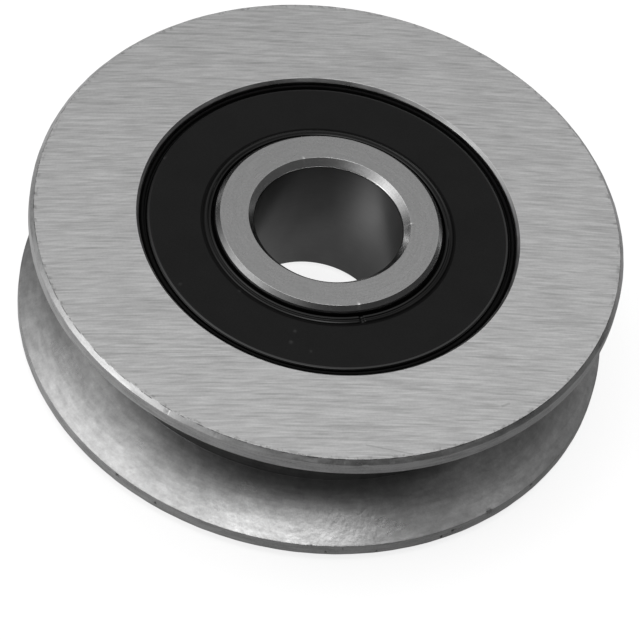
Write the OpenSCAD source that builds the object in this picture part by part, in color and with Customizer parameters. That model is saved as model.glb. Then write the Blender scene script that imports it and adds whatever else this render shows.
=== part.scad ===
// V groove wheel with an integral sealed ball bearing.
// The grooved wheel is itself the outer ring of the bearing: its outer raceway
// is cut straight into the wheel, and there is no separate outer ring.
// Units are millimetres. The axle lies along Z and the origin is the middle of
// the wheel. The lower face of the inner ring is what the part stands on.

/* [Wheel] */
// Outer diameter of the wheel over the two rim lands
wheel_od = 40; // [39.6:0.2:48]
// Width of the wheel across its two ground faces
wheel_w = 10.3; // [10.2:0.1:10.9]
// Chamfer on the outer edge of each face
rim_chamfer = 0.3; // [0.1:0.05:0.5]

/* [Groove] */
// Width of the V groove at the rim
groove_w = 8; // [6.4:0.1:8.2]
// Included angle between the two flanks, in degrees
groove_angle = 60; // [50:2:90]
// Depth of the groove from the rim to its flat root
groove_depth = 3.8; // [2:0.1:4]

/* [Bearing] */
// Diameter of the bore through the inner ring
bore_d = 10; // [7:0.1:11]
// Width of the inner ring, which stands a little proud of both wheel faces
ring_w = 11; // [10.9:0.1:12]
// Outside diameter of the inner ring's shoulders
ring_od = 15.4; // [15.3:0.02:15.42]
// Chamfer between the inner ring's faces and its outside
ring_chamfer = 0.35; // [0.1:0.05:0.35]
// Chamfer at both ends of the bore
bore_chamfer = 0.46; // [0.1:0.02:0.6]
// Diameter of each ball
ball_d = 5.556; // [5.3:0.004:5.6]
// Radial running clearance between a ball and each raceway
ball_clearance = 0.02; // [0.01:0.005:0.05]

/* [Seals] */
// Diameter of the recess in each wheel face, at the face
recess_d = 25.84; // [25.6:0.02:26.2]
// Depth of the rubber's flat face below the wheel's face
seal_depth = 0.3; // [0.2:0.02:0.4]
// Height of the two lip ridges above the flat face of the rubber
lip_rise = 0.16; // [0.05:0.01:0.2]
// Running clearance between the lip's edge and the inner ring
lip_clearance = 0.03; // [0.02:0.01:0.1]

/* [Cage] */
// Sheet thickness of the two pressed cage halves
cage_t = 0.4; // [0.3:0.05:0.45]
// Radial width of the cage ribbon
cage_w = 1.8; // [1.5:0.1:2.2]
// Clearance between a ball and its pocket
pocket_clearance = 0.06; // [0.04:0.01:0.1]

/* [Hidden] */
$fn = 128;

n_balls = 7;
pitch_r = 9.65;                        // radius of the circle of ball centres
ball_step = 360 / n_balls;

// Wheel
wr = wheel_od / 2;
zf = wheel_w / 2;                      // height of the wheel's upper face
half_a = groove_angle / 2;
root_w = max(0.6, groove_w - 2 * groove_depth * tan(half_a));
depth = (groove_w - root_w) / 2 / tan(half_a);
root_r = wr - depth;
shoulder_r = 11.7;                     // land on either side of the outer raceway
ledge_z = 3.6;                         // ledge that backs the seal

// Recess and snap groove that hold a seal
recess_r = recess_d / 2;
wall_r = recess_r - 0.2;               // straight wall below the recess chamfer
snap_r = 13.05;                        // bottom of the snap groove

// Raceways: the groove radius is 52 per cent of the ball's diameter
race_r = 0.52 * ball_d;
outer_race_c = pitch_r + ball_d / 2 + ball_clearance - race_r;
inner_race_c = pitch_r - ball_d / 2 - ball_clearance + race_r;

// Inner ring
zr = ring_w / 2;
ring_r = ring_od / 2;
bore_r = bore_d / 2;

// Seals
zs = zf - seal_depth;                  // height of the rubber's flat face
zb = 3.9;                              // underside of the steel insert
insert_t = 0.3;
insert_ri = 8.7;
insert_ro = 12.3;
lip_r = ring_r + lip_clearance;
ridge_z = zs + lip_rise;

// Cage
pocket_r = ball_d / 2 + pocket_clearance;
cage_ri = pitch_r - cage_w / 2;
cage_ro = pitch_r + cage_w / 2;
rivet_r = 0.35;
rivet_head_r = 0.62;
rivet_head_t = 0.28;

// Places a child at ball position i, counted from 1
module at_ball(i) {
    rotate([0, 0, (i - 1) * ball_step]) translate([pitch_r, 0, 0]) children();
}

// Places a child halfway between two balls
module at_gap(i) {
    rotate([0, 0, (i - 0.5) * ball_step]) translate([pitch_r, 0, 0]) children();
}

// Section of the wheel, without its raceway
module wheel_section() {
    polygon([
        // outside, from the upper face down
        [wr - rim_chamfer, zf], [wr, zf - rim_chamfer],
        [wr, groove_w / 2], [root_r, root_w / 2],
        [root_r, -root_w / 2], [wr, -groove_w / 2],
        [wr, -zf + rim_chamfer], [wr - rim_chamfer, -zf],
        // lower recess and snap groove
        [recess_r, -zf], [wall_r, -zf + 0.2], [wall_r, -4.55],
        [snap_r, -4.3], [snap_r, -3.95], [12.6, -ledge_z], [shoulder_r, -ledge_z],
        // upper ledge, snap groove and recess
        [shoulder_r, ledge_z], [12.6, ledge_z], [snap_r, 3.95], [snap_r, 4.3],
        [wall_r, 4.55], [wall_r, zf - 0.2], [recess_r, zf]
    ]);
}

// Grooved wheel, which is also the outer ring of the bearing
module wheel() {
    color("silver")
    difference() {
        rotate_extrude() wheel_section();
        rotate_extrude() translate([outer_race_c, 0]) circle(r = race_r);
    }
}

// Inner ring with its raceway and bore
module inner_ring() {
    color("darkgray")
    difference() {
        rotate_extrude() polygon([
            [bore_r + bore_chamfer, zr], [ring_r - ring_chamfer, zr],
            [ring_r, zr - ring_chamfer], [ring_r, -zr + ring_chamfer],
            [ring_r - ring_chamfer, -zr], [bore_r + bore_chamfer, -zr],
            [bore_r, -zr + bore_chamfer], [bore_r, zr - bore_chamfer]
        ]);
        rotate_extrude() translate([inner_race_c, 0]) circle(r = race_r);
    }
}

// Section of the rubber of the upper seal: a bead in the snap groove, a flat
// web over the steel insert, two raised ridges and the lip on the inner ring
module seal_section() {
    polygon([
        // bead in the snap groove, and the thin rim that shows round the web
        [12.62, 3.75], [snap_r - 0.01, 3.98], [snap_r - 0.01, 4.27], [12.66, 4.5],
        [12.58, zs - 0.2], [12.54, zs - 0.02], [12.47, zs + 0.03], [12.39, zs - 0.02],
        // notch and rounded shoulder
        [12.32, zs - 0.24], [12.24, zs - 0.24], [12.2, zs - 0.09], [12.13, zs - 0.025], [12.03, zs],
        // flat face
        [8.6, zs], [8.52, zs - 0.02],
        // outer ridge
        [8.45, zs + 0.01], [8.38, ridge_z - 0.08], [8.3, ridge_z - 0.04],
        [8.22, ridge_z - 0.07], [8.14, ridge_z - 0.07],
        // inner ridge
        [8.07, ridge_z - 0.01], [7.97, ridge_z + 0.02], [7.89, ridge_z - 0.02], [7.85, ridge_z - 0.12],
        // lip that rides on the inner ring
        [7.84, 4.66], [lip_r, 4.55], [lip_r, 4.25], [8.05, zb], [insert_ri, zb],
        [insert_ri, zb + insert_t], [insert_ro, zb + insert_t], [insert_ro, 3.75]
    ]);
}

// Rubber of one seal, as it sits in the upper recess
module seal_rubber() {
    color([0.13, 0.13, 0.13]) rotate_extrude() seal_section();
}

module seal_upper() { seal_rubber(); }
module seal_lower() { mirror([0, 0, 1]) seal_rubber(); }

// Steel washer that the rubber is moulded onto
module seal_insert() {
    color("gray")
    difference() {
        translate([0, 0, zb]) cylinder(r = insert_ro, h = insert_t);
        translate([0, 0, zb - 1]) cylinder(r = insert_ri, h = insert_t + 2);
    }
}

module seal_insert_upper() { seal_insert(); }
module seal_insert_lower() { mirror([0, 0, 1]) seal_insert(); }

// One bearing ball
module ball(i) {
    color("gainsboro") at_ball(i) sphere(d = ball_d);
}

// Upper half of the pressed ribbon cage: flat lands between the balls and a
// dished pocket over each ball
module cage_half() {
    color("lightsteelblue")
    difference() {
        intersection() {
            union() {
                cylinder(r = cage_ro + 1, h = cage_t);
                for (i = [1:n_balls]) at_ball(i) sphere(r = pocket_r + cage_t, $fn = 36);
            }
            difference() {
                cylinder(r = cage_ro, h = 5);
                translate([0, 0, -1]) cylinder(r = cage_ri, h = 7);
            }
        }
        for (i = [1:n_balls]) at_ball(i) sphere(r = pocket_r, $fn = 36);
        for (i = [1:n_balls]) at_gap(i) translate([0, 0, -1]) cylinder(r = rivet_r, h = cage_t + 2, $fn = 48);
    }
}

module cage_upper() { cage_half(); }
module cage_lower() { mirror([0, 0, 1]) cage_half(); }

// Rivet that closes the two cage halves between a pair of balls
module cage_rivet(i) {
    color("silver") at_gap(i) {
        translate([0, 0, -cage_t - rivet_head_t]) cylinder(r = rivet_head_r, h = rivet_head_t, $fn = 48);
        translate([0, 0, -cage_t]) cylinder(r = rivet_r, h = 2 * cage_t, $fn = 48);
        translate([0, 0, cage_t]) cylinder(r = rivet_head_r, h = rivet_head_t, $fn = 48);
    }
}

wheel();
inner_ring();
seal_upper();
seal_lower();
seal_insert_upper();
seal_insert_lower();
ball(1);  // ball_1
ball(2);  // ball_2
ball(3);  // ball_3
ball(4);  // ball_4
ball(5);  // ball_5
ball(6);  // ball_6
ball(7);  // ball_7
cage_upper();
cage_lower();
cage_rivet(1);  // cage_rivet_1
cage_rivet(2);  // cage_rivet_2
cage_rivet(3);  // cage_rivet_3
cage_rivet(4);  // cage_rivet_4
cage_rivet(5);  // cage_rivet_5
cage_rivet(6);  // cage_rivet_6
cage_rivet(7);  // cage_rivet_7
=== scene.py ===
import math

import bpy
import numpy as np
from mathutils import Matrix, Vector


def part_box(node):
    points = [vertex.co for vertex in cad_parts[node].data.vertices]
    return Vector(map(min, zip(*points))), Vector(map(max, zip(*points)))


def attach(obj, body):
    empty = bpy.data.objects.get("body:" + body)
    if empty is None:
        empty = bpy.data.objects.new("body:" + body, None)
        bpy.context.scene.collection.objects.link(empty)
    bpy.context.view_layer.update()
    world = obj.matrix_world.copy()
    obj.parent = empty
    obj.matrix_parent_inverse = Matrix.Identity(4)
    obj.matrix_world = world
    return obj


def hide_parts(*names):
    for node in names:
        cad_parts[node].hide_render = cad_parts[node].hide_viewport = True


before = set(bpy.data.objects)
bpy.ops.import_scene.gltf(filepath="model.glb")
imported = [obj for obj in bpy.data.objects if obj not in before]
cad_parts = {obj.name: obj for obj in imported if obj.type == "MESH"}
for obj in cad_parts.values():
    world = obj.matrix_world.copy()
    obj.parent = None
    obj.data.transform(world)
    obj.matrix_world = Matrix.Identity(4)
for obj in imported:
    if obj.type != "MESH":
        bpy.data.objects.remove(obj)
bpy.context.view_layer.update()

MM = 0.001
scene = bpy.context.scene
scene.view_settings.view_transform = "Standard"
scene.view_settings.look = "None"
scene.view_settings.exposure = 0.0
scene.view_settings.gamma = 1.0

# Angles run from -Y towards +X, seen from above, in degrees.
GRIND = 14.0                    # direction of the surface grinder's lines, from +X
GRIND_R = 0.33                  # the lines are arcs of this radius, in metres


# ---------------------------------------------------------------- camera

def make_camera():
    focal_px = 4470.1
    yaw, pitch, roll = (math.radians(a) for a in (0.22, 50.34, -11.94))
    fwd = Vector((math.sin(yaw) * math.cos(pitch), math.cos(yaw) * math.cos(pitch), -math.sin(pitch)))
    right = Vector((math.cos(yaw), -math.sin(yaw), 0))
    down = fwd.cross(right)
    x = right * math.cos(roll) + down * math.sin(roll)
    y = right * math.sin(roll) - down * math.cos(roll)
    cam = bpy.data.cameras.new("camera")
    o = bpy.data.objects.new("camera", cam)
    scene.collection.objects.link(o)
    o.matrix_world = Matrix((
        (x.x, y.x, -fwd.x, 0.0),
        (x.y, y.y, -fwd.y, -0.19516),
        (x.z, y.z, -fwd.z, 0.23043),
        (0, 0, 0, 1),
    ))
    cam.sensor_width = 36
    cam.lens = focal_px / 640 * 36
    cam.clip_start, cam.clip_end = 0.01, 20
    scene.camera = o


make_camera()


# ---------------------------------------------------------------- turned meshes

def rounded(points, step=14.0):
    """points: (r, z, corner radius, material of the segment that starts here). Closed.
    Returns the outline with its corners rounded, and a material for each segment."""
    out, tags = [], []
    n = len(points)
    for i, (r, z, rad, tag) in enumerate(points):
        p = np.array([r, z])
        a = np.array(points[i - 1][:2])
        b = np.array(points[(i + 1) % n][:2])
        before = points[i - 1][3]
        if rad <= 0:
            out.append(p)
            tags.append(tag)
            continue
        d1 = (p - a) / np.linalg.norm(p - a)
        d2 = (b - p) / np.linalg.norm(b - p)
        turn = math.acos(max(-1.0, min(1.0, float(d1 @ d2))))
        t = min(rad * math.tan(turn / 2), 0.45 * np.linalg.norm(p - a), 0.45 * np.linalg.norm(b - p))
        rad = t / math.tan(turn / 2)
        k = max(2, int(math.ceil(math.degrees(turn) / step)))
        c = p + (d2 - d1) / np.linalg.norm(d2 - d1) * rad / math.cos(turn / 2)
        u = p - d1 * t - c
        side = 1.0 if u[0] * d1[1] - u[1] * d1[0] > 0 else -1.0
        for j in range(k + 1):
            g = side * turn * j / k
            out.append(c + np.array([u[0] * math.cos(g) - u[1] * math.sin(g), u[0] * math.sin(g) + u[1] * math.cos(g)]))
            tags.append(before if j < k / 2 else tag)
    return np.array(out), tags


def rows(a, b, n, tag):
    """n points evenly from a towards b, b left out."""
    return [(a[0] + (b[0] - a[0]) * i / n, a[1] + (b[1] - a[1]) * i / n, 0, tag) for i in range(n)]


def columns(base, dense=(), reach=1.3, pitch=0.11):
    """Angles of the columns: base of them evenly spread, and finer near each angle in dense."""
    a = list(np.arange(base) * 360.0 / base)
    for c in dense:
        k = int(reach / pitch)
        a += [(c + i * pitch) % 360 for i in range(-k, k + 1)]
    a = np.unique(np.round(np.array(a) % 360, 3))
    keep = [a[0]]
    for v in a[1:]:
        if v - keep[-1] > 0.045:
            keep.append(v)
    return np.array(keep)


def lathe(name, outline, tags, angles, materials, dent=None, power=2.0):
    """Closed surface of revolution. outline (r, z) in mm runs clockwise in the r-z plane when z is up.
    dent(r, z, phi) gives (dr, dz, wear) arrays. Flat faces keep flat shading next to small radii."""
    phi = np.radians(angles)
    na, npf = len(phi), len(outline)
    R = np.repeat(outline[None, :, 0], na, 0)
    Z = np.repeat(outline[None, :, 1], na, 0)
    P = np.repeat(phi[:, None], npf, 1)
    wear_and_glint = np.zeros_like(R)
    if dent is not None:
        dr, dz, wear_and_glint = dent(R, Z, np.degrees(P))
        R, Z = R + dr, Z + dz
    co = np.stack([R * np.sin(P), -R * np.cos(P), Z], 2).reshape(-1, 3) * MM
    j = np.arange(na)[:, None]
    i = np.arange(npf)[None, :]
    k = (j + 1) % na
    i2 = (i + 1) % npf
    quads = np.stack([j * npf + i, j * npf + i2, k * npf + i2, k * npf + i], 2).reshape(-1, 4)
    a, b, c, d = (co[quads[:, q]] for q in range(4))
    fn = np.cross(c - a, d - b)
    # turn the faces outwards: the signed volume must be positive
    if np.einsum("ij,ij->i", (a + b + c + d) / 4, fn).sum() < 0:
        quads = quads[:, ::-1].copy()
        fn = -fn
    area = np.linalg.norm(fn, axis=1)
    unit = fn / np.maximum(area, 1e-18)[:, None]
    # vertex normals: large flat faces win over the small ones at their rounded edges
    vn = np.zeros_like(co)
    w = np.sqrt(area / area.max()) ** power
    for q in range(4):
        np.add.at(vn, quads[:, q], unit * w[:, None])
    vn /= np.maximum(np.linalg.norm(vn, axis=1), 1e-18)[:, None]
    me = bpy.data.meshes.new(name)
    me.vertices.add(len(co))
    me.vertices.foreach_set("co", co.astype(np.float32).ravel())
    me.loops.add(len(quads) * 4)
    me.loops.foreach_set("vertex_index", quads.astype(np.int32).ravel())
    me.polygons.add(len(quads))
    me.polygons.foreach_set("loop_start", (np.arange(len(quads)) * 4).astype(np.int32))
    me.polygons.foreach_set("material_index", np.tile(np.array(tags, np.int32), na))
    me.polygons.foreach_set("use_smooth", np.ones(len(quads), bool))
    me.update(calc_edges=True)
    at = me.attributes.new("wear_and_glint", "FLOAT", "POINT")
    at.data.foreach_set("value", wear_and_glint.astype(np.float32).ravel())
    me.normals_split_custom_set_from_vertices([tuple(v) for v in vn])
    for m in materials:
        me.materials.append(m)
    o = bpy.data.objects.new(name, me)
    scene.collection.objects.link(o)
    return o


# ---------------------------------------------------------------- materials

class Nodes:
    """Small helper that builds one procedural material."""

    def __init__(self, name, base, rough, metal=1.0, spec=0.5):
        self.m = bpy.data.materials.new(name)
        self.m.use_nodes = True
        self.t = self.m.node_tree
        self.t.nodes.clear()
        out = self.add("ShaderNodeOutputMaterial")
        self.b = self.add("ShaderNodeBsdfPrincipled")
        self.t.links.new(self.b.outputs[0], out.inputs[0])
        self.b.inputs["Base Color"].default_value = (*base, 1)
        self.b.inputs["Roughness"].default_value = rough
        self.b.inputs["Metallic"].default_value = metal
        self.b.inputs["Specular IOR Level"].default_value = spec
        self.base, self.rough = base, rough
        self.P = self.add("ShaderNodeTexCoord").outputs["Object"]
        self.colour_factors, self.height = [], None

    def add(self, kind, **props):
        n = self.t.nodes.new(kind)
        for k, v in props.items():
            setattr(n, k, v)
        return n

    def put(self, socket, value):
        if hasattr(value, "links") or hasattr(value, "is_output"):
            self.t.links.new(value, socket)
        else:
            socket.default_value = value

    def math(self, op, a, b=0.0, c=0.0, clamp=False):
        n = self.add("ShaderNodeMath", operation=op, use_clamp=clamp)
        self.put(n.inputs[0], a)
        self.put(n.inputs[1], b)
        self.put(n.inputs[2], c)
        return n.outputs[0]

    def vec(self, op, a, b=(0, 0, 0), scale=None):
        n = self.add("ShaderNodeVectorMath", operation=op)
        self.put(n.inputs[0], a)
        if scale is None:
            self.put(n.inputs[1], b)
        else:
            self.put(n.inputs["Scale"], scale)
        return n.outputs["Value"] if op in ("LENGTH", "DOT_PRODUCT", "DISTANCE") else n.outputs["Vector"]

    def turned(self, angle, v=None):
        n = self.add("ShaderNodeVectorRotate", rotation_type="Z_AXIS")
        self.put(n.inputs["Vector"], self.P if v is None else v)
        n.inputs["Angle"].default_value = math.radians(angle)
        return n.outputs[0]

    def noise(self, v, scale, detail=2.0, rough=0.5, seed=0.0):
        """scale is features per metre along x, y, z."""
        s = self.vec("MULTIPLY", v, tuple(scale) if hasattr(scale, "__len__") else (scale,) * 3)
        s = self.vec("ADD", s, (seed * 17.31, seed * 5.77, seed * 9.13))
        n = self.add("ShaderNodeTexNoise", noise_dimensions="3D")
        self.put(n.inputs["Vector"], s)
        n.inputs["Scale"].default_value = 1.0
        n.inputs["Detail"].default_value = detail
        n.inputs["Roughness"].default_value = rough
        return n.outputs["Fac"] if "Fac" in n.outputs else n.outputs[0]

    def ramp(self, v, a, b, c, d, smooth=False):
        n = self.add("ShaderNodeMapRange", interpolation_type="SMOOTHSTEP" if smooth else "LINEAR")
        self.put(n.inputs["Value"], v)
        for k, x in zip(("From Min", "From Max", "To Min", "To Max"), (a, b, c, d)):
            n.inputs[k].default_value = x
        return n.outputs["Result"]

    def polar(self):
        """Distance of the surface point from the axle, in metres."""
        flat = self.vec("MULTIPLY", self.P, (1, 1, 0))
        return self.vec("LENGTH", flat)

    def ring_vector(self, along, across):
        """Coordinates for marks that run round the axis: slow along the circle, fast across it, in r and z."""
        r = self.polar()
        unit = self.vec("NORMALIZE", self.vec("MULTIPLY", self.P, (1, 1, 0)))
        z = self.add("ShaderNodeSeparateXYZ")
        self.put(z.inputs[0], self.P)
        a = self.vec("SCALE", unit, scale=along)
        c = self.add("ShaderNodeCombineXYZ")
        self.put(c.inputs[2], self.math("MULTIPLY", self.math("ADD", self.math("MULTIPLY", r, 1.37), z.outputs[2]), across))
        return self.vec("ADD", a, c.outputs[0])

    def wear_and_glint(self):
        n = self.add("ShaderNodeAttribute", attribute_name="wear_and_glint")
        return n.outputs["Fac"]

    def shade(self, factor):
        """Multiplies the base colour."""
        self.colour_factors.append(factor)

    def bump(self, height, depth, strength=1.0):
        """Adds a height field, in metres of depth for a height of 1."""
        n = self.add("ShaderNodeBump")
        n.inputs["Strength"].default_value = strength
        n.inputs["Distance"].default_value = depth
        self.put(n.inputs["Height"], height)
        if self.height is not None:
            self.t.links.new(self.height, n.inputs["Normal"])
        self.height = n.outputs[0]

    def roughness(self, v):
        self.put(self.b.inputs["Roughness"], v)

    def done(self):
        if self.colour_factors:
            f = self.colour_factors[0]
            for g in self.colour_factors[1:]:
                f = self.math("MULTIPLY", f, g)
            self.put(self.b.inputs["Base Color"], self.vec("SCALE", self.base, scale=f))
        if self.height is not None:
            self.t.links.new(self.height, self.b.inputs["Normal"])
        return self.m


def mat_ground_face():
    """Surface-ground steel: long straight parallel lines of uneven length."""
    n = Nodes("ground_face", (0.60, 0.60, 0.60), 0.33)
    v = n.turned(-GRIND)
    u = n.add("ShaderNodeSeparateXYZ")
    n.put(u.inputs[0], v)
    arc = n.add("ShaderNodeCombineXYZ")
    n.put(arc.inputs[1], n.math("MULTIPLY", n.math("MULTIPLY", u.outputs[0], u.outputs[0]), 0.5 / GRIND_R))
    v = n.vec("ADD", v, arc.outputs[0])
    fine = n.noise(v, (480, 8200, 900), 2.0, 0.60, 1)
    mid = n.noise(n.turned(2.5, v), (260, 4200, 500), 2.0, 0.55, 2)
    cross = n.noise(n.turned(-4.5, v), (700, 5600, 700), 1.0, 0.55, 9)
    broad = n.noise(v, (90, 500, 300), 2.0, 0.5, 3)
    spots = n.noise(n.P, 420, 2.0, 0.5, 4)
    grain = n.noise(n.P, 6200, 2.0, 0.6, 10)
    lines = n.math("ADD", n.math("MULTIPLY", fine, 0.34), n.math("ADD", n.math("MULTIPLY", mid, 0.42), n.math("MULTIPLY", cross, 0.24)))
    n.shade(n.ramp(lines, 0.34, 0.66, 0.74, 1.20))
    n.shade(n.ramp(grain, 0.3, 0.7, 0.96, 1.04))
    # ragged burr where the face was broken over into the rim chamfer
    burr = n.noise(n.P, (2400, 2400, 900), 2.0, 0.6, 12)
    near = n.ramp(n.polar(), 0.01935, 0.01965, 0.0, 1.0, True)
    n.shade(n.math("SUBTRACT", 1.0, n.math("MULTIPLY", near, n.ramp(burr, 0.52, 0.64, 0.0, 0.32, True))))
    n.shade(n.ramp(broad, 0.3, 0.7, 0.98, 1.02))
    n.shade(n.ramp(spots, 0.3, 0.7, 0.97, 1.03))
    # single deeper grinding marks
    deep = n.noise(v, (260, 6500, 900), 0.0, 0.5, 7)
    n.shade(n.ramp(deep, 0.68, 0.76, 1.0, 0.86, True))
    # a long light scratch near the rim, and two short ones
    for (x0, y0, x1, y1, w, dark) in ((5.2, -17.8, 8.3, -17.75, 0.045, 0.80), (13.4, -12.4, 13.9, -12.0, 0.06, 0.82), (-9.5, 8.0, -8.4, 7.4, 0.05, 0.86)):
        n.shade(scratch(n, x0, y0, x1, y1, w, dark))
    n.roughness(n.ramp(lines, 0.3, 0.7, 0.37, 0.29))
    n.bump(fine, 1.6e-6, 0.55)
    n.bump(mid, 2.4e-6, 0.40)
    return n.done()


def scratch(n, x0, y0, x1, y1, width, dark):
    """A thin straight mark from one point to another, in mm, as a brightness factor."""
    dx, dy = x1 - x0, y1 - y0
    length = math.hypot(dx, dy)
    ux, uy = dx / length, dy / length
    rel = n.vec("SUBTRACT", n.P, (x0 * MM, y0 * MM, 0))
    along = n.vec("DOT_PRODUCT", rel, (ux, uy, 0))
    across = n.math("ABSOLUTE", n.vec("DOT_PRODUCT", rel, (-uy, ux, 0)))
    wob = n.noise(n.P, 900, 2.0, 0.5, 11)
    w = n.math("MULTIPLY", wob, 2 * width * MM)
    inside = n.math("LESS_THAN", across, w)
    inside = n.math("MULTIPLY", inside, n.math("GREATER_THAN", along, 0.0))
    inside = n.math("MULTIPLY", inside, n.math("LESS_THAN", along, length * MM))
    return n.math("SUBTRACT", 1.0, n.math("MULTIPLY", inside, 1 - dark))


def mat_rim():
    """Turned rim chamfers and lands, with handling marks. The base colour is set brighter than the face's steel:
    painted light on the chamfers and lands.
    """
    n = Nodes("turned_rim", (0.90, 0.90, 0.90), 0.30)
    rings = n.noise(n.ring_vector(6.0, 9000), 1.0, 2.0, 0.6, 1)
    blot = n.noise(n.P, (500, 500, 2200), 3.0, 0.6, 2)
    grain = n.noise(n.P, 7000, 1.0, 0.5, 3)
    n.shade(n.ramp(rings, 0.3, 0.7, 0.88, 1.12))
    n.shade(n.ramp(blot, 0.35, 0.65, 0.86, 1.12))
    n.shade(n.ramp(grain, 0.3, 0.7, 0.94, 1.06))
    # the edge between face and chamfer is dull in places
    edge = n.ramp(n.math("ABSOLUTE", n.math("SUBTRACT", n.polar(), 0.0197)), 0.00002, 0.00006, 1.0, 0.0, True)
    broken = n.noise(n.P, (1600, 1600, 600), 3.0, 0.65, 13)
    n.shade(n.math("SUBTRACT", 1.0, n.math("MULTIPLY", edge, n.ramp(broken, 0.40, 0.60, 0.0, 0.75, True))))
    w = n.wear_and_glint()
    # the nicks are darkened; the burrs on the upper rim are lightened past the steel's own colour as painted highlights
    n.shade(n.ramp(w, 0.0, 1.0, 1.0, 0.22))
    n.shade(n.ramp(w, -1.0, 0.0, 1.6, 1.0))
    n.roughness(n.ramp(blot, 0.3, 0.7, 0.26, 0.36))
    n.bump(rings, 1.2e-6, 0.5)
    n.bump(blot, 6e-6, 0.35)
    return n.done()


def mat_groove():
    """Finely grained groove: bead-like sparkle over faint marks that run round the wheel."""
    n = Nodes("grained_groove", (0.60, 0.60, 0.60), 0.30)
    grain = n.noise(n.P, 7800, 2.0, 0.6, 1)
    coarse = n.noise(n.P, 2500, 1.6, 0.5, 2)
    mottle = n.noise(n.P, 1000, 3.0, 0.65, 5)
    rings = n.noise(n.ring_vector(9.0, 4200), 1.0, 2.0, 0.55, 3)
    broad = n.noise(n.P, (260, 260, 700), 3.0, 0.6, 4)
    n.shade(n.ramp(grain, 0.28, 0.72, 0.95, 1.05))
    n.shade(n.ramp(coarse, 0.3, 0.7, 0.96, 1.04))
    n.shade(n.ramp(mottle, 0.32, 0.68, 0.88, 1.10))
    n.shade(n.ramp(rings, 0.3, 0.7, 0.90, 1.10))
    n.shade(n.ramp(broad, 0.3, 0.7, 0.95, 1.05))
    # painted light and shade: the flanks are brightened near the rim and darkened towards the root, standing in for the
    # upper flange blocking the overhead light; the next ramp paints more shade into the crease at the root
    n.shade(n.ramp(n.polar(), 0.0175, 0.0198, 0.58, 1.22, True))
    n.shade(n.ramp(n.polar(), 0.01625, 0.01720, 0.74, 1.0, True))
    w = n.wear_and_glint()
    n.shade(n.ramp(w, 0.0, 1.0, 1.0, 0.30))
    n.roughness(n.ramp(broad, 0.3, 0.7, 0.33, 0.27))
    n.bump(grain, 2.6e-6, 0.55)
    n.bump(coarse, 17e-6, 0.55)
    n.bump(rings, 3e-6, 0.35)
    return n.done()


def mat_recess():
    """Turned steel of the seal recess, darker than the rim."""
    n = Nodes("turned_recess", (0.64, 0.64, 0.64), 0.30)
    rings = n.noise(n.ring_vector(5.0, 8000), 1.0, 2.0, 0.6, 5)
    blot = n.noise(n.P, 700, 2.0, 0.5, 6)
    n.shade(n.ramp(rings, 0.3, 0.7, 0.86, 1.10))
    n.shade(n.ramp(blot, 0.3, 0.7, 0.88, 1.10))
    n.roughness(n.ramp(blot, 0.3, 0.7, 0.26, 0.36))
    n.bump(rings, 1.5e-6, 0.5)
    return n.done()


def mat_ring(name="ground_ring", base=0.38, rough=0.27, relief=1.0):
    """Inner ring: fine ground steel, even and a little darker than the wheel."""
    n = Nodes(name, (base, base, base), rough)
    grain = n.noise(n.P, 6500, 2.0, 0.55, 1)
    rings = n.noise(n.ring_vector(4.0, 6500), 1.0, 2.0, 0.6, 2)
    blot = n.noise(n.P, 600, 2.0, 0.5, 3)
    n.shade(n.ramp(grain, 0.3, 0.7, 0.93, 1.07))
    n.shade(n.ramp(rings, 0.3, 0.7, 0.95, 1.05))
    n.shade(n.ramp(blot, 0.3, 0.7, 0.95, 1.05))
    n.shade(n.ramp(n.wear_and_glint(), 0.0, 1.0, 1.0, 1.7))
    n.roughness(n.ramp(blot, 0.3, 0.7, rough + 0.03, rough - 0.03))
    n.bump(grain, 1.2e-6 * relief, 0.5)
    n.bump(rings, 1.0e-6 * relief, 0.4)
    return n.done()


def mat_bore():
    """Honed bore: smoother, with fine marks that run round it. Its base colour is darkened far below the ring's steel:
    painted shade inside the bore.
    """
    n = Nodes("honed_bore", (0.165, 0.165, 0.165), 0.32)
    rings = n.noise(n.ring_vector(3.0, 7000), 1.0, 2.0, 0.6, 2)
    blot = n.noise(n.P, (500, 500, 300), 2.0, 0.5, 3)
    n.shade(n.ramp(rings, 0.3, 0.7, 0.97, 1.03))
    n.shade(n.ramp(blot, 0.3, 0.7, 0.90, 1.10))
    n.roughness(n.ramp(blot, 0.3, 0.7, 0.30, 0.36))
    n.bump(rings, 3e-7, 0.4)
    return n.done()


def mat_race():
    """Polished raceway, hidden inside."""
    n = Nodes("polished_race", (0.62, 0.62, 0.62), 0.12)
    rings = n.noise(n.ring_vector(3.0, 9000), 1.0, 1.0, 0.5, 8)
    n.shade(n.ramp(rings, 0.3, 0.7, 0.96, 1.04))
    n.bump(rings, 4e-7, 0.4)
    return n.done()


def rubber(name, base, rough, spec, grain_depth):
    n = Nodes(name, base, rough, 0.0, spec)
    fine = n.noise(n.P, 9000, 2.0, 0.6, 1)
    cloud = n.noise(n.P, 350, 3.0, 0.55, 2)
    n.shade(n.ramp(fine, 0.3, 0.7, 0.85, 1.15))
    n.shade(n.ramp(cloud, 0.3, 0.7, 0.88, 1.12))
    w = n.wear_and_glint()
    n.shade(n.ramp(w, 0.0, 1.0, 1.0, 3.2))
    n.roughness(n.ramp(cloud, 0.3, 0.7, rough * 0.92, rough * 1.08))
    n.bump(fine, grain_depth, 0.5)
    n.bump(cloud, grain_depth * 6, 0.25)
    return n.done()


def mat_insert():
    n = Nodes("pressed_washer", (0.42, 0.42, 0.42), 0.38)
    g = n.noise(n.P, (900, 5200, 2000), 2.0, 0.5, 4)
    n.shade(n.ramp(g, 0.3, 0.7, 0.90, 1.08))
    n.bump(g, 1.5e-6, 0.4)
    return n.done()


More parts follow.
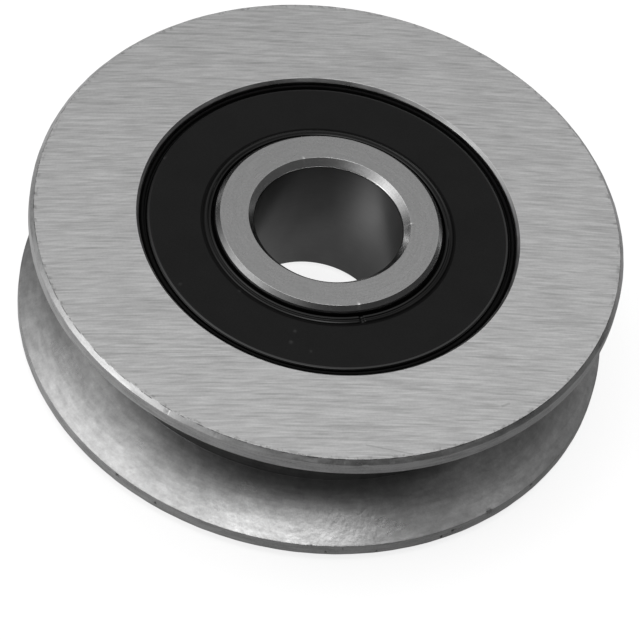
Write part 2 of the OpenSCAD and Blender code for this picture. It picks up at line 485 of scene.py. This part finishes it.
def mat_ball():
    n = Nodes("ball_polish", (0.66, 0.66, 0.67), 0.06)
    g = n.noise(n.P, 3000, 2.0, 0.5, 5)
    n.shade(n.ramp(g, 0.3, 0.7, 0.98, 1.02))
    n.roughness(n.ramp(g, 0.3, 0.7, 0.05, 0.08))
    return n.done()


def mat_cage():
    n = Nodes("cage_sheet", (0.48, 0.48, 0.47), 0.34)
    g = n.noise(n.P, (4200, 4200, 1200), 2.0, 0.6, 6)
    h = n.noise(n.P, 800, 2.0, 0.5, 7)
    n.shade(n.ramp(g, 0.3, 0.7, 0.92, 1.07))
    n.shade(n.ramp(h, 0.3, 0.7, 0.92, 1.06))
    n.bump(g, 1.5e-6, 0.4)
    return n.done()


def mat_rivet():
    n = Nodes("rivet_steel", (0.52, 0.52, 0.52), 0.28)
    g = n.noise(n.P, 6000, 2.0, 0.6, 8)
    n.shade(n.ramp(g, 0.3, 0.7, 0.92, 1.08))
    n.bump(g, 1.5e-6, 0.4)
    return n.done()


FACE, RIM, GROOVE, RECESS, RACE = range(5)
wheel_mats = [mat_ground_face(), mat_rim(), mat_groove(), mat_recess(), mat_race()]


# ---------------------------------------------------------------- the wheel

# Nicks on the rims: angle, height, half width round the rim, half height, depth (mm), darkness
NICKS = (
    # lower rim
    (-30.9, -4.20, 0.20, 0.20, 0.10, 0.85),
    (-21.9, -4.48, 0.14, 0.14, 0.09, 1.00),
    (8.9, -4.05, 0.30, 0.11, 0.05, 0.22),
    (12.1, -4.62, 0.13, 0.12, 0.08, 0.90),
    (15.1, -4.25, 0.10, 0.10, 0.06, 0.70),
    (21.8, -4.70, 0.12, 0.12, 0.07, 0.80),
    (35.0, -4.64, 0.16, 0.14, 0.09, 0.95),
    (37.5, -4.36, 0.20, 0.17, 0.11, 1.00),
    (45.7, -4.10, 0.45, 0.22, 0.06, 0.40),
    (57.0, -4.18, 0.20, 0.18, 0.10, 0.95),
    # upper rim, where the burrs are painted paler than the chamfer (negative darkness) as painted highlights
    (-22.8, 4.99, 0.22, 0.10, 0.030, 0.35),
    (-12.6, 5.03, 0.30, 0.07, 0.020, 0.25),
    (-6.5, 4.76, 0.30, 0.06, 0.020, -0.40),
    (-3.2, 4.78, 0.26, 0.06, 0.020, -0.40),
    (3.1, 4.86, 0.34, 0.08, 0.030, -0.50),
    (5.4, 5.04, 0.40, 0.06, 0.030, 0.30),
    (7.6, 4.88, 0.26, 0.08, 0.030, -0.45),
    (9.9, 4.95, 0.22, 0.09, 0.030, 0.30),
    (12.0, 5.02, 0.26, 0.07, 0.030, -0.60),
    (13.6, 4.92, 0.40, 0.07, 0.020, 0.30),
    (15.9, 4.84, 0.30, 0.08, 0.030, -0.55),
    (20.9, 4.96, 0.26, 0.09, 0.030, -0.60),
    (25.3, 4.84, 0.20, 0.08, 0.020, -0.50),
    (30.8, 5.03, 0.18, 0.07, 0.020, -0.60),
    (41.0, 4.92, 0.50, 0.06, 0.020, 0.25),
)


def rim_dents(R, Z, phi):
    dr, dz, wear_and_glint = np.zeros_like(R), np.zeros_like(R), np.zeros_like(R)
    outer = np.clip((R - 19.0) / 0.5, 0, 1)
    for a, z, hw, hh, depth, dark in NICKS:
        d = (phi - a + 180) % 360 - 180
        s = np.radians(d) * 20.0
        wob = 1 + 0.25 * np.sin(s * 23 + a) + 0.2 * np.sin(Z * 31 + 2 * a)
        q = np.sqrt((s / hw) ** 2 + ((Z - z) / hh) ** 2) * wob
        f = np.clip(1 - q, 0, 1)
        f = f * f * (3 - 2 * f) * outer
        up = np.clip((Z - 4.9) / 0.25, 0, 1) if z > 0 else np.clip((-4.9 - Z) / 0.25, 0, 1)
        dr -= depth * f * (1 - 0.5 * up)
        dz -= (depth * f * up) * (1 if z > 0 else -1)
        # a negative darkness makes a painted highlight on the burr
        mark = dark * np.clip(f * 1.7, 0, 1)
        wear_and_glint = np.where(np.abs(mark) > np.abs(wear_and_glint), mark, wear_and_glint)
    # the deburred upper and lower edges wander a little
    edge = np.exp(-((np.abs(Z) - 4.86) / 0.10) ** 2) * outer
    dr -= edge * 0.018 * (1 + np.sin(np.radians(phi) * 41 + 1.1) * 0.6 + np.sin(np.radians(phi) * 97) * 0.4) * 0.5
    return dr, dz, wear_and_glint


def build_wheel():
    z_lip, z_root, r_root = 4.0, 1.806, 16.2
    race_c, race_r = 9.559, 2.88912
    g = math.asin(math.sqrt(race_r ** 2 - (11.7 - race_c) ** 2) / race_r)
    race = [(race_c + race_r * math.cos(t), race_r * math.sin(t), 0, RACE) for t in np.linspace(-g, g, 15)]

    def half(s):
        """Outside of one half, from its face towards the groove's middle."""
        p = [(12.92, s * 5.15, 0.03, FACE), (16.5, s * 5.15, 0, FACE), (19.70, s * 5.15, 0.012, RIM)]
        p += rows((19.78, s * 5.07), (19.97, s * 4.88), 2, RIM)
        p += [(20.0, s * 4.85, 0.07, RIM)]
        p += rows((20.0, s * 4.74), (20.0, s * 4.10), 6, RIM)
        p += [(20.0, s * z_lip, 0.06, GROOVE)]
        k = (z_lip - z_root) / (20.0 - r_root)
        for r in (19.88, 19.74, 19.58, 19.40, 19.0, 18.2, 17.3):
            p.append((r, s * (z_root + k * (r - r_root)), 0, GROOVE))
        p.append((r_root, s * z_root, 0.04, GROOVE))
        return p

    def flip(p):
        """The same points run the other way, with each segment's material kept."""
        q = p[::-1]
        return [(r, z, rad, q[i + 1][3] if i + 1 < len(q) else None) for i, (r, z, rad, _) in enumerate(q)]

    up, low = half(1), flip(half(-1))
    low[-1] = (*low[-1][:3], RECESS)
    pts = up + low
    pts += [(12.72, -4.95, 0.16, RECESS), (12.72, -4.55, 0, RECESS), (13.05, -4.30, 0, RECESS), (13.05, -3.95, 0, RECESS), (12.60, -3.60, 0, RECESS), (11.70, -3.60, 0.05, RACE)]
    pts += race
    pts += [(11.70, 3.60, 0.05, RECESS), (12.60, 3.60, 0, RECESS), (13.05, 3.95, 0, RECESS), (13.05, 4.30, 0, RECESS), (12.72, 4.55, 0, RECESS), (12.72, 4.95, 0.16, RECESS)]
    outline, tags = rounded(pts)
    near = [a for a, *_ in NICKS]
    o = lathe("wheel_body_skin", outline, tags, columns(480, near, 0.8, 0.16), wheel_mats, rim_dents)
    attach(o, "wheel_body")
    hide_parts("wheel")
    return o


build_wheel()


# ---------------------------------------------------------------- the inner ring

# Small bruises on the ring's edges: angle, radius, size (mm), depth (mm), lightness
BRUISES = (
    (24.1, 7.34, 0.16, 0.02, 0.9),
    (-152.2, 5.52, 0.13, 0.02, 0.7),
    (101.3, 5.47, 0.12, 0.02, 0.8),
)


def ring_dents(R, Z, phi):
    dr, dz, wear_and_glint = np.zeros_like(R), np.zeros_like(R), np.zeros_like(R)
    for a, r, size, depth, light in BRUISES:
        x, y = r * math.sin(math.radians(a)), -r * math.cos(math.radians(a))
        d = np.hypot(R * np.sin(np.radians(phi)) - x, -R * np.cos(np.radians(phi)) - y)
        g = np.clip(1 - d / size, 0, 1) * (Z > 5.0)
        g = g * g * (3 - 2 * g)
        dz -= depth * g
        wear_and_glint = np.maximum(wear_and_glint, light * np.clip(1.6 * g, 0, 1))
    return dr, dz, wear_and_glint


def build_ring():
    race_c, race_r = 9.65 - 2.778 - 0.02 + 2.88912, 2.88912
    g = math.acos((race_c - 7.7) / race_r)
    pts = [
        (5.46, 5.5, 0.03, 0), (5.60, 5.5, 0, 0), (5.72, 5.5, 0, 0), (7.06, 5.5, 0, 0), (7.20, 5.5, 0, 0), (7.35, 5.5, 0.035, 3), (7.63, 5.22, 0.08, 5), (7.70, 5.08, 0.20, 5), (7.70, 4.0, 0, 0),
    ]
    arc = [(race_c - race_r * math.cos(t), race_r * math.sin(t), 0, 2) for t in np.linspace(g, -g, 19)]
    arc[-1] = (*arc[-1][:3], 0)
    pts += arc
    pts += [(7.70, -4.0, 0, 5), (7.70, -5.08, 0.20, 5), (7.63, -5.22, 0.08, 3), (7.35, -5.5, 0.035, 0), (5.46, -5.5, 0.03, 4), (5.0, -5.04, 0.25, 1), (5.0, -1.5, 0, 1), (5.0, 1.5, 0, 1), (5.0, 5.04, 0.25, 4)]
    outline, tags = rounded(pts)
    # ring_chamfer and bore_chamfer are brighter copies of the ring's steel: painted light on the chamfers.
    # oiled_and_shaded_wall darkens the wall under the chamfer: an oil film together with painted shade in the gap
    # between the ring and the seal's lip.
    o = lathe("inner_ring_skin", outline, tags, columns(480, [a for a, *_ in BRUISES], 1.6, 0.20), [mat_ring(), mat_bore(), mat_race(), mat_ring("ring_chamfer", 0.52, 0.21, 0.5), mat_ring("bore_chamfer", 0.88, 0.21, 0.5), mat_ring("oiled_and_shaded_wall", 0.10, 0.34, 0.5)], ring_dents)
    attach(o, "inner_ring_body")
    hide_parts("inner_ring")


build_ring()


# ---------------------------------------------------------------- the seals

# Dust specks and marks on the rubber: radius, angle, size (mm), height (mm), lightness
SPECKS = (
    (11.58, -49.1, 0.16, 0.02, 0.8),
    (8.60, -34.3, 0.15, 0.02, 0.8),
    (9.53, -4.4, 0.17, 0.02, 0.9),
    (10.51, -4.6, 0.20, 0.02, 0.9),
    (10.89, 2.9, 0.15, 0.02, 0.7),
    (12.10, -104.3, 0.18, 0.02, 0.8),
)
RIDGE_NICK = (24.5, 0.22, 0.10)     # angle, half width, depth (mm)


def seal_marks(R, Z, phi):
    dr, dz, wear_and_glint = np.zeros_like(R), np.zeros_like(R), np.zeros_like(R)
    top = Z > 4.6
    a, hw, depth = RIDGE_NICK
    s = np.radians((phi - a + 180) % 360 - 180) * 8.1
    f = np.clip(1 - np.abs(s) / hw, 0, 1)
    f = f * f * (3 - 2 * f) * top * np.clip((Z - 4.86) / 0.08, 0, 1) * (R < 8.7)
    dz -= depth * f
    for r, a, size, height, light in SPECKS:
        x, y = r * math.sin(math.radians(a)), -r * math.cos(math.radians(a))
        d = np.hypot(R * np.sin(np.radians(phi)) - x, -R * np.cos(np.radians(phi)) - y)
        g = np.clip(1 - d / size, 0, 1) * top
        dz += height * g * g * (3 - 2 * g)
        wear_and_glint = np.maximum(wear_and_glint, light * np.clip(1.6 * g, 0, 1))
    return dr, dz, wear_and_glint


def build_seal(name, node, slot_mats, s, marks):
    # G, the rim in the recess and the foot of the outer ridge, is a darker, duller copy of the rubber: painted shade in
    # the gap and in the notch
    F, E, G, S = 0, 1, 2, 3    # flat rubber, smooth moulded edges, the dull rim in the recess, the shoulder
    pts = [
        (12.62, 3.75, 0.05, F), (13.04, 3.98, 0.05, F), (13.04, 4.27, 0.05, F), (12.66, 4.50, 0.04, G),
        (12.58, 4.66, 0, G), (12.55, 4.82, 0.04, G), (12.47, 4.885, 0.05, G), (12.38, 4.82, 0.03, G),
        (12.33, 4.62, 0.02, G), (12.25, 4.62, 0.02, S), (12.20, 4.76, 0.06, S), (12.13, 4.83, 0.10, S), (12.00, 4.85, 0.10, F),
    ]
    # rows across the flat, for the marks on it
    for r in np.arange(11.9, 8.7, -0.105):
        pts.append((float(r), 4.85, 0, F))
    pts += [
        (8.60, 4.85, 0.03, G), (8.52, 4.83, 0.04, G), (8.45, 4.86, 0.04, G), (8.38, 4.93, 0.05, E), (8.30, 4.97, 0.06, E),
        (8.22, 4.94, 0.04, E), (8.14, 4.94, 0.04, E), (8.07, 5.00, 0.05, E), (7.97, 5.03, 0.07, E), (7.89, 4.99, 0.05, E),
        (7.85, 4.89, 0.04, E), (7.84, 4.66, 0.03, F), (7.73, 4.55, 0.02, F), (7.73, 4.25, 0.02, F), (8.05, 3.90, 0.03, F),
        (8.70, 3.90, 0, F), (8.70, 4.20, 0, F), (12.30, 4.20, 0, F), (12.30, 3.75, 0, F),
    ]
    outline, tags = rounded(pts, 22.0)
    dense = [a for _, a, *_ in SPECKS] + [RIDGE_NICK[0]] if marks else []
    angles = columns(420, dense, 2.2, 0.35)
    o = lathe(name, outline, tags, angles, slot_mats, seal_marks if marks else None)
    if s < 0:
        flip_down(o)
    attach(o, "wheel_body")
    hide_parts(node)


def flip_down(o):
    """Turns a finished piece over, half a turn about X, so that it faces down."""
    me = o.data
    me.transform(Matrix.Rotation(math.pi, 4, "X"))
    me.update()


seal_mats = [
    rubber("seal_flat", (0.0110, 0.0110, 0.0110), 0.50, 0.11, 3e-6),
    rubber("seal_edge", (0.0024, 0.0024, 0.0024), 0.11, 0.26, 1.0e-6),
    # the rim material is painted shade in the recess gap and at the outer ridge's foot
    rubber("seal_shaded_rim", (0.0050, 0.0050, 0.0050), 0.55, 0.06, 3e-6),
    rubber("seal_shoulder", (0.0030, 0.0030, 0.0030), 0.10, 0.45, 1.2e-6),
]
build_seal("seal_upper_skin", "seal_upper", seal_mats, 1, True)
build_seal("seal_lower_skin", "seal_lower", seal_mats, -1, False)


# ---------------------------------------------------------------- CAD nodes that stay

def dress(material, *names):
    for name in names:
        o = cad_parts[name]
        o.data.materials.clear()
        o.data.materials.append(material)


dress(mat_insert(), "seal_insert_upper", "seal_insert_lower")
dress(mat_ball(), *("ball_%d" % i for i in range(1, 8)))
dress(mat_cage(), "cage_upper", "cage_lower")
dress(mat_rivet(), *("cage_rivet_%d" % i for i in range(1, 8)))


# ---------------------------------------------------------------- floor, backdrop and light

FLOOR_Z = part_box("inner_ring")[0].z - 0.00002


def disc(name, radius, z, n=96):
    me = bpy.data.meshes.new(name)
    vs = [(radius * math.sin(2 * math.pi * i / n), radius * math.cos(2 * math.pi * i / n), z) for i in range(n)]
    me.from_pydata(vs, [], [tuple(range(n))[::-1]])
    me.update()
    o = bpy.data.objects.new(name, me)
    scene.collection.objects.link(o)
    return o


def matte(name, value, glow=0.0):
    m = bpy.data.materials.new(name)
    m.use_nodes = True
    b = m.node_tree.nodes["Principled BSDF"]
    b.inputs["Base Color"].default_value = (value, value, value, 1)
    b.inputs["Roughness"].default_value = 1.0
    b.inputs["Specular IOR Level"].default_value = 0.0
    b.inputs["Emission Color"].default_value = (1, 1, 1, 1)
    b.inputs["Emission Strength"].default_value = glow
    return m


def bench_painted_glow():
    """A glowing sheet that only the steel mirrors: painted light standing in for the lit room below the lamps, paler
    behind and to the left.
    """
    m = matte("bench_painted_glow", 0.3, 0.6)
    t = m.node_tree
    geo = t.nodes.new("ShaderNodeNewGeometry")
    flat = t.nodes.new("ShaderNodeVectorMath")
    flat.operation = "MULTIPLY"
    t.links.new(geo.outputs["Position"], flat.inputs[0])
    flat.inputs[1].default_value = (1, 1, 0)
    unit = t.nodes.new("ShaderNodeVectorMath")
    unit.operation = "NORMALIZE"
    t.links.new(flat.outputs[0], unit.inputs[0])
    dot = t.nodes.new("ShaderNodeVectorMath")
    dot.operation = "DOT_PRODUCT"
    t.links.new(unit.outputs[0], dot.inputs[0])
    dot.inputs[1].default_value = (-0.7, 0.7, 0)
    r = t.nodes.new("ShaderNodeMapRange")
    t.links.new(dot.outputs["Value"], r.inputs["Value"])
    for k, x in zip(("From Min", "From Max", "To Min", "To Max"), (-1.0, 1.0, BENCH_DARK, BENCH_PALE)):
        r.inputs[k].default_value = x
    b = t.nodes["Principled BSDF"]
    # painted pool of light: the bench glows brighter where light through the bore would fall
    near = t.nodes.new("ShaderNodeVectorMath")
    near.operation = "DISTANCE"
    t.links.new(flat.outputs[0], near.inputs[0])
    near.inputs[1].default_value = (-0.0042, 0.0009, 0)
    painted_pool = t.nodes.new("ShaderNodeMapRange")
    t.links.new(near.outputs["Value"], painted_pool.inputs["Value"])
    for k, x in zip(("From Min", "From Max", "To Min", "To Max"), (0.0, 0.0036, 1.9, 0.0)):
        painted_pool.inputs[k].default_value = x
    both = t.nodes.new("ShaderNodeMath")
    both.operation = "ADD"
    t.links.new(r.outputs["Result"], both.inputs[0])
    t.links.new(painted_pool.outputs["Result"], both.inputs[1])
    t.links.new(both.outputs[0], b.inputs["Emission Color"])
    half = t.nodes.new("ShaderNodeMath")
    half.operation = "MULTIPLY"
    t.links.new(r.outputs["Result"], half.inputs[0])
    half.inputs[1].default_value = 0.4
    t.links.new(half.outputs[0], b.inputs["Base Color"])
    return m


# the pale floor that the camera sees, and a darker bench on it that only the steel mirrors, glowing with painted light
BENCH_DARK, BENCH_PALE = 0.15, 0.46
floor = disc("floor", 1.0, FLOOR_Z)
floor.data.materials.append(matte("pale_floor", 0.36, 0.82))
floor.visible_glossy = False
bench = disc("bench", 1.0, FLOOR_Z + 0.00003)
bench.data.materials.append(bench_painted_glow())
bench.visible_camera = False
bench.visible_diffuse = False
bench.visible_transmission = False
bench.visible_shadow = False

dome_mesh = bpy.data.meshes.new("backdrop")
dome = bpy.data.objects.new("backdrop", dome_mesh)
scene.collection.objects.link(dome)
_n, _h = 48, 12
_vs = [(math.cos(math.pi / 2 * j / _h) * math.sin(2 * math.pi * i / _n), math.cos(math.pi / 2 * j / _h) * math.cos(2 * math.pi * i / _n), math.sin(math.pi / 2 * j / _h) + FLOOR_Z) for j in range(_h) for i in range(_n)] + [(0, 0, 1 + FLOOR_Z)]
_fs = [(j * _n + i, j * _n + (i + 1) % _n, (j + 1) * _n + (i + 1) % _n, (j + 1) * _n + i) for j in range(_h - 1) for i in range(_n)]
_fs += [((_h - 1) * _n + i, (_h - 1) * _n + (i + 1) % _n, _h * _n) for i in range(_n)]
dome_mesh.from_pydata(_vs, [], _fs)
_m = bpy.data.materials.new("backdrop_white")
_m.use_nodes = True
_t = _m.node_tree
_t.nodes.clear()
_e = _t.nodes.new("ShaderNodeEmission")
_e.inputs[0].default_value = (1, 1, 1, 1)
_e.inputs[1].default_value = 0.97
_o = _t.nodes.new("ShaderNodeOutputMaterial")
_t.links.new(_e.outputs[0], _o.inputs[0])
dome_mesh.materials.append(_m)
dome.visible_diffuse = dome.visible_glossy = dome.visible_transmission = dome.visible_shadow = False

# Soft boxes round the bench: direction (angle, elevation), strength, tightness
LIGHTS = (
    (0, 90, 0.38, 20),
    (24, 77, 2.60, 90),
    (340, 76, 1.50, 70),
    (180, 50, 0.13, 8),
    (40, 76, 1.00, 80),
    (92, 50, 0.16, 60),
    (270, 65, 1.40, 20),
    (225, 65, 1.42, 20),
    (135, 65, 0.99, 20),
    (150, 40, 0.61, 20),
    (300, 15, 1.59, 20),
    (270, 15, 0.35, 20),
    (240, 40, 0.25, 20),
    (270, 40, 0.20, 20),
    (180, 15, 0.29, 20),
    (330, 40, 0.22, 20),
)


FILL = 0.055


def studio():
    world = bpy.data.worlds.new("studio")
    scene.world = world
    world.use_nodes = True
    t = world.node_tree
    t.nodes.clear()
    tc = t.nodes.new("ShaderNodeTexCoord")
    total = None
    for phi, el, strength, tight in LIGHTS:
        a, e = math.radians(phi), math.radians(el)
        dot = t.nodes.new("ShaderNodeVectorMath")
        dot.operation = "DOT_PRODUCT"
        t.links.new(tc.outputs["Generated"], dot.inputs[0])
        dot.inputs[1].default_value = (math.sin(a) * math.cos(e), -math.cos(a) * math.cos(e), math.sin(e))
        pos = t.nodes.new("ShaderNodeMath")
        pos.operation = "MAXIMUM"
        t.links.new(dot.outputs["Value"], pos.inputs[0])
        pos.inputs[1].default_value = 0.0
        pw = t.nodes.new("ShaderNodeMath")
        pw.operation = "POWER"
        t.links.new(pos.outputs[0], pw.inputs[0])
        pw.inputs[1].default_value = tight
        mul = t.nodes.new("ShaderNodeMath")
        mul.operation = "MULTIPLY"
        t.links.new(pw.outputs[0], mul.inputs[0])
        mul.inputs[1].default_value = strength
        if total is None:
            total = mul.outputs[0]
        else:
            s = t.nodes.new("ShaderNodeMath")
            s.operation = "ADD"
            t.links.new(total, s.inputs[0])
            t.links.new(mul.outputs[0], s.inputs[1])
            total = s.outputs[0]
    fill = t.nodes.new("ShaderNodeMath")
    fill.operation = "ADD"
    t.links.new(total, fill.inputs[0])
    fill.inputs[1].default_value = FILL
    total = fill.outputs[0]
    bg = t.nodes.new("ShaderNodeBackground")
    bg.inputs[0].default_value = (1, 1, 1, 1)
    t.links.new(total, bg.inputs[1])
    out = t.nodes.new("ShaderNodeOutputWorld")
    t.links.new(bg.outputs[0], out.inputs[0])


studio()
